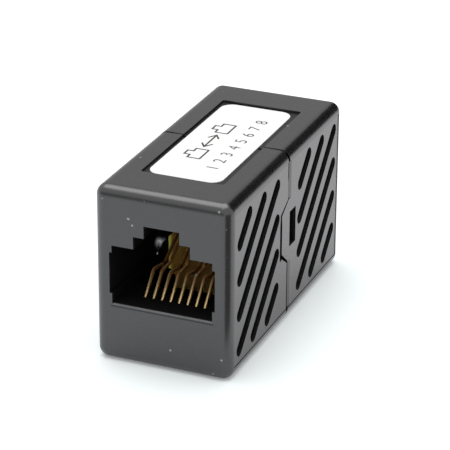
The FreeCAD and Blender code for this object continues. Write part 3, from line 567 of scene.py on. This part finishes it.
def solderCone(number):
    # the radius falls from the foot on the pad to the neck round the wire as (1 - climb) to the power of fall
    climb = np.linspace(0, 1, solder["steps"])
    radius = solder["neck"] + (solder["foot"] - solder["neck"]) * (1 - climb) ** solder["fall"]
    y = solder["faceY"] + climb * solder["height"]
    return revolved(np.stack([radius, y], 1), *wirePlace(number), solder["around"])


verts, faces = merged(solderCone(number) for number in numbers)
for end, place in (("front", verts), ("rear", turned(verts))):
    joints = newPiece(f"{end}SolderCones", place, faces, "solder", solderFinish)
    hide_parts(f"{end}_solder_joints")
print("solder set")


board = {"faceY": 0.8, "padOuter": 0.47, "padInner": 0.30, "padThick": 0.03, "around": 24,
         "trackCount": 4, "trackWide": 0.24, "trackThick": 0.025, "trackLow": 8.6, "trackStep": 0.42,
         "trackDrop": 0.4, "trackBeside": 0.30, "trackBevel": 0.3, "trackLeast": 0.8,
         "rimFrom": 6.1, "rimTo": 6.45, "rimLow": 4.0, "rimHigh": 18.4, "sharpestMitre": 0.35}


def ribbon(path, wide, thick, closed=False):
    # a flat strip carried along a path in a plane, mitred at its corners; the section is a low rectangle
    path = np.asarray(path, float)
    before = path - np.roll(path, 1, 0)
    after = np.roll(path, -1, 0) - path
    if not closed:
        before[0], after[-1] = after[0], before[-1]
    before /= np.linalg.norm(before, axis=1, keepdims=True)
    after /= np.linalg.norm(after, axis=1, keepdims=True)
    mitre = before + after
    mitre /= np.linalg.norm(mitre, axis=1, keepdims=True)
    stretch = 1 / np.maximum((mitre * after).sum(1, keepdims=True), board["sharpestMitre"])
    beside = np.stack([-mitre[:, 1], mitre[:, 0]], 1) * stretch * wide / 2
    left, right = path + beside, path - beside
    ring = np.stack([left, right, right, left], 1)
    height = np.broadcast_to([0, 0, thick, thick], ring.shape[:2])
    verts = np.concatenate([ring, height[..., None]], -1).reshape(-1, 3)
    count = len(verts)
    if closed:
        return verts, [tuple(corner % count for corner in face) for face in gridFaces(count // 4 + 1, 4)]
    return verts, [tuple(face) for face in gridFaces(count // 4, 4)] + [(3, 2, 1, 0), tuple(range(count - 4, count))]


def onBoard(verts):
    # from a flat drawing (across, up, thickness) to the board's rear face
    across, up, thick = verts.T
    return np.stack([across, board["faceY"] + thick, up], 1)


def circle(x, y, radius, around):
    # points at equal turns round a centre
    turn = np.linspace(0, math.tau, around, endpoint=False)
    return np.stack([x + radius * np.cos(turn), y + radius * np.sin(turn)], 1)


def block(low, high):
    # a plain box between two corners
    corners = np.array([[(low, high)[i][0], (low, high)[j][1], (low, high)[k][2]] for k in (0, 1) for j in (0, 1)
                        for i in (0, 1)], float)
    return corners, [(0, 2, 3, 1), (4, 5, 7, 6), (0, 1, 5, 4), (2, 6, 7, 3), (0, 4, 6, 2), (1, 3, 7, 5)]


def drawnOnBoard(name, slotName, material, drawings):
    # flat drawings raised on the board's rear face, and the same half a turn round on its front face
    verts, faces = merged((onBoard(flat), flatFaces) for flat, flatFaces in drawings)
    for end, place in (("front", verts), ("rear", turned(verts))):
        newPiece(end + name, place, faces, slotName, material, smooth=False)


def trackPath(index):
    # from below one hole down, across and up again, each lower than the one before; a stub where there is no room
    x, row = wirePlace(index * 2 + 1)
    low = board["trackLow"] - index * board["trackStep"]
    top, bevel, finish = row - board["trackDrop"], board["trackBevel"], -x + board["trackBeside"]
    if finish - x <= board["trackLeast"]:
        return [(x, top), (x, low)]
    return [(x, top), (x, low + bevel), (x + bevel, low), (finish - bevel, low), (finish, low + bevel),
            (finish, top)]


rims = merged([block((board["rimFrom"], -board["faceY"], board["rimLow"]),
                     (board["rimTo"], board["faceY"], board["rimHigh"])),
               block((-board["rimTo"], -board["faceY"], board["rimLow"]),
                     (-board["rimFrom"], board["faceY"], board["rimHigh"]))])
newPiece("boardRims", *rims, "board_laminate", boardFinish, smooth=False)
padWide = board["padOuter"] - board["padInner"]
ownHoles = [wirePlace(number) for number in numbers]
drawnOnBoard("Pads", "solder", padFinish,
             [ribbon(circle(x, z, board["padInner"] + padWide / 2, board["around"]), padWide, board["padThick"], True)
              for x, z in ownHoles + [(-x, z) for x, z in ownHoles]])
drawnOnBoard("Tracks", "board_laminate", trackFinish,
             [ribbon(trackPath(index), board["trackWide"], board["trackThick"])
              for index in range(board["trackCount"])])
print("board furnished")


# x runs across the label, y along it; the marks are read from the right side, with their tops towards -X
marks = {"surfaceZ": 20.5, "inkThick": 0.008, "stroke": 0.22, "bigRow": (-2.85, -0.45), "bigFrom": -5.7,
         "bigTo": 5.2, "portWide": 2.9, "portShoulder": 0.68, "portTab": (0.30, 0.70), "lower": 0.15,
         "arrowGap": 0.7, "arrowInset": 0.2, "headLength": 1.0, "headHalf": 0.65, "headThicker": 1.2,
         "digitRow": 2.42, "digitSize": 2.05, "digitFrom": -7.35, "digitStep": 2.08, "digitThinner": -0.012}


def portOutline(left, base, wide, tall):
    # the stepped outline of a port, as corners anticlockwise from its lower left
    shoulder, (tabFrom, tabTo) = marks["portShoulder"], marks["portTab"]
    steps = ((0, 0), (1, 0), (1, shoulder), (tabTo, shoulder), (tabTo, 1), (tabFrom, 1), (tabFrom, shoulder),
             (0, shoulder))
    return [(left + across * wide, base + up * tall) for across, up in steps]


def digitMesh(text):
    # a digit's filled outline from the built-in typeface, as points and faces in its own flat place
    curve = bpy.data.curves.new("digit", "FONT")
    curve.body, curve.size, curve.align_x = text, marks["digitSize"], "CENTER"
    curve.extrude, curve.offset = marks["inkThick"] / 2, marks["digitThinner"]
    holder = bpy.data.objects.new("digit", curve)
    mesh = bpy.data.meshes.new_from_object(holder)
    verts = np.empty(len(mesh.vertices) * 3)
    mesh.vertices.foreach_get("co", verts)
    faces = [tuple(polygon.vertices) for polygon in mesh.polygons]
    bpy.data.objects.remove(holder)
    bpy.data.curves.remove(curve)
    bpy.data.meshes.remove(mesh)
    return verts.reshape(-1, 3) + (0, 0, marks["inkThick"] / 2), faces


def onLabel(verts):
    # reading direction runs along +Y and the tops of the marks face -X
    along, up, thick = verts.T
    return np.stack([-up, along, marks["surfaceZ"] + thick], 1)


def labelMarks():
    # two port outlines with a double arrow between them, over a row of the contacts' numbers
    top, base = -marks["bigRow"][0], -marks["bigRow"][1]
    stroke, thick, wide = marks["stroke"], marks["inkThick"], marks["portWide"]
    first, last = marks["bigFrom"], marks["bigTo"]
    parts = [ribbon(portOutline(left, base + stroke / 2, wide - stroke, top - base - stroke), stroke, thick, True)
             for left in (first + stroke / 2, last - wide + stroke / 2)]
    middle = (top + base) / 2 - marks["lower"]
    arrowFrom, arrowTo = first + wide + marks["arrowGap"], last - wide - marks["arrowGap"]
    parts.append(ribbon([(arrowFrom + marks["arrowInset"], middle), (arrowTo - marks["arrowInset"], middle)],
                        stroke, thick))
    for tip, turn in ((arrowFrom, 1), (arrowTo, -1)):
        back = tip + turn * marks["headLength"]
        parts.append(ribbon([(back, middle - marks["headHalf"]), (tip, middle), (back, middle + marks["headHalf"])],
                            stroke, thick * marks["headThicker"]))
    for index, number in enumerate(numbers):
        verts, faces = digitMesh(str(number))
        parts.append((verts + (marks["digitFrom"] + index * marks["digitStep"], -marks["digitRow"], 0), faces))
    return parts


verts, faces = joined((onLabel(flat), flatFaces) for flat, flatFaces in labelMarks())
newPiece("labelMarks", verts, faces, "label_film", inkFinish, smooth=False)
print("label marked")


# the floor, the lamp and the cards are in metres, apart from mirroredFrom
stage = {"floorRadius": 1.2, "floorSides": 96, "floorColour": (0.80, 0.825, 0.83), "seenColour": (1.03, 1.09, 1.10),
         "mirroredFront": (0.94, 0.98, 1.00), "mirroredBehind": (1.07, 1.07, 1.09), "mirroredFrom": (-24, -6),
         "floorGlow": 0.12, "worldLevel": 0.75, "lampFrom": (-0.12, 0.10, 0.99), "lampDistance": 0.60,
         "lampSize": 0.58, "lampPower": 2.6, "middle": (0, 0, 0.010)}
# direction from the middle, distance, width, height and level, which is how bright the card looks
cards = {"darkCard": ((0.44, 0.84, 0.36), 0.40, 0.46, 0.44, 0.02),
         "greyCard": ((-0.34, 0.86, 0.42), 0.42, 0.36, 0.42, 0.60),
         "edgeCard": ((0.62, -0.785, 0.01), 0.0264, 0.0120, 0.0195, 0.25),
         "frontCard": ((-0.36, -0.90, 0.17), 0.40, 0.60, 0.20, 0.42)}
white = (1, 1, 1, 1)


def addObject(name, data):
    # links a new object that holds data to the scene
    thing = bpy.data.objects.new(name, data)
    bpy.context.scene.collection.objects.link(thing)
    return thing


def directRays(tree):
    # 1 where the floor or the world is seen by the camera, in a gloss or through glass
    seen = put(tree, "LightPath").outputs
    return chain(tree, "MAXIMUM", seen["Is Glossy Ray"], seen["Is Transmission Ray"], seen["Is Camera Ray"])


def buildFloor():
    # a round pale floor; seen directly or mirrored it is lifted towards white and keeps its shadow
    turn = np.linspace(0, math.tau, stage["floorSides"], endpoint=False)
    rim = np.stack([np.cos(turn), np.sin(turn), np.zeros(len(turn))], 1) * stage["floorRadius"]
    mesh = bpy.data.meshes.new("floor")
    mesh.from_pydata(rim.tolist(), [], [tuple(range(len(turn)))])
    material, tree, place = newMaterial("paleFloor")
    direct = directRays(tree)
    behind = between(tree, axesOf(tree, place)[1], *stage["mirroredFrom"])
    mirrored = blendColour(tree, behind, stage["mirroredFront"], stage["mirroredBehind"])
    bright = blendColour(tree, put(tree, "LightPath").outputs["Is Camera Ray"], mirrored, stage["seenColour"])
    matt = put(tree, "BsdfDiffuse", {"Color": blendColour(tree, direct, stage["floorColour"], bright)})
    glow = put(tree, "Emission", {"Color": white, "Strength": 1.0})
    mix = put(tree, "MixShader", {0: maths(tree, "MULTIPLY", direct, stage["floorGlow"]),
                                  1: matt.outputs[0], 2: glow.outputs[0]})
    finishMaterial(tree, mix.outputs[0])
    mesh.materials.append(material)
    addObject("floor", mesh)


def buildLamp():
    # one square soft light over the coupler, facing its middle
    data = bpy.data.lights.new("softLamp", "AREA")
    data.shape, data.size, data.energy = "SQUARE", stage["lampSize"], stage["lampPower"]
    lamp = addObject("softLamp", data)
    aim = Vector(stage["lampFrom"]).normalized()
    lamp.location = Vector(stage["middle"]) + aim * stage["lampDistance"]
    lamp.rotation_euler = (-aim).to_track_quat("-Z", "Y").to_euler()


def buildWorld(level):
    # lights the coupler at level, and is white wherever it is seen or mirrored
    world = bpy.data.worlds.new("studio")
    bpy.context.scene.world = world
    world.use_nodes = True
    tree = world.node_tree
    tree.nodes.clear()
    strength = maths(tree, "MULTIPLY_ADD", directRays(tree), 1.0 - level, level)
    put(tree, "OutputWorld", {"Surface": put(tree, "Background", {"Color": white, "Strength": strength}).outputs[0]})


def studioCard(name, direction, distance, width, height, level):
    # a card that faces the middle of the coupler from one direction, and that only glossy surfaces show
    aim = Vector(direction).normalized()
    middle = Vector(stage["middle"]) + aim * distance
    side = aim.cross(Vector((0, 0, 1))).normalized()
    up = side.cross(aim)
    corners = [middle + side * (width / 2) * a + up * (height / 2) * b
               for a, b in ((-1, -1), (1, -1), (1, 1), (-1, 1))]
    mesh = bpy.data.meshes.new(name)
    mesh.from_pydata([tuple(corner) for corner in corners], [], [(0, 1, 2, 3)])
    material, tree = newMaterial(name)[:2]
    finishMaterial(tree, put(tree, "Emission", {"Color": white, "Strength": level}).outputs[0])
    mesh.materials.append(material)
    card = addObject(name, mesh)
    card.visible_camera = card.visible_diffuse = card.visible_shadow = card.visible_transmission = False


buildFloor()
buildWorld(stage["worldLevel"])
buildLamp()
for name, card in cards.items():
    studioCard(name, *card)
print("stage lit")


# angles in degrees, distance, lens and sensor in millimetres, clip in metres
camera = {"azimuth": 22.464, "elevation": 24.209, "roll": 0.328, "distance": 250.09, "lens": 175.49,
          "shiftX": 0.0042, "shiftY": -0.0008, "sensor": 36.0, "clip": (0.01, 10.0)}


def buildCamera():
    # looks back along a line at azimuth and elevation from the middle of the CAD box, turned by roll about it
    az, el, roll = (math.radians(camera[key]) for key in ("azimuth", "elevation", "roll"))
    back = Vector((math.sin(az) * math.cos(el), -math.cos(az) * math.cos(el), math.sin(el)))
    right = Vector((math.cos(az), math.sin(az), 0))
    up = back.cross(right)
    right, up = right * math.cos(roll) + up * math.sin(roll), up * math.cos(roll) - right * math.sin(roll)
    data = bpy.data.cameras.new("camera")
    data.lens, data.sensor_width = camera["lens"], camera["sensor"]
    data.shift_x, data.shift_y = camera["shiftX"], camera["shiftY"]
    data.clip_start, data.clip_end = camera["clip"]
    eye = addObject("camera", data)
    turn = eye.matrix_world.to_3x3()
    turn.col[0], turn.col[1], turn.col[2] = right, up, back
    eye.matrix_world = turn.to_4x4()
    eye.location = (cadLow + cadHigh) / 2 + back * camera["distance"] * mm
    bpy.context.scene.camera = eye


buildCamera()
bpy.context.scene.view_settings.view_transform = "Standard"
print("camera set")
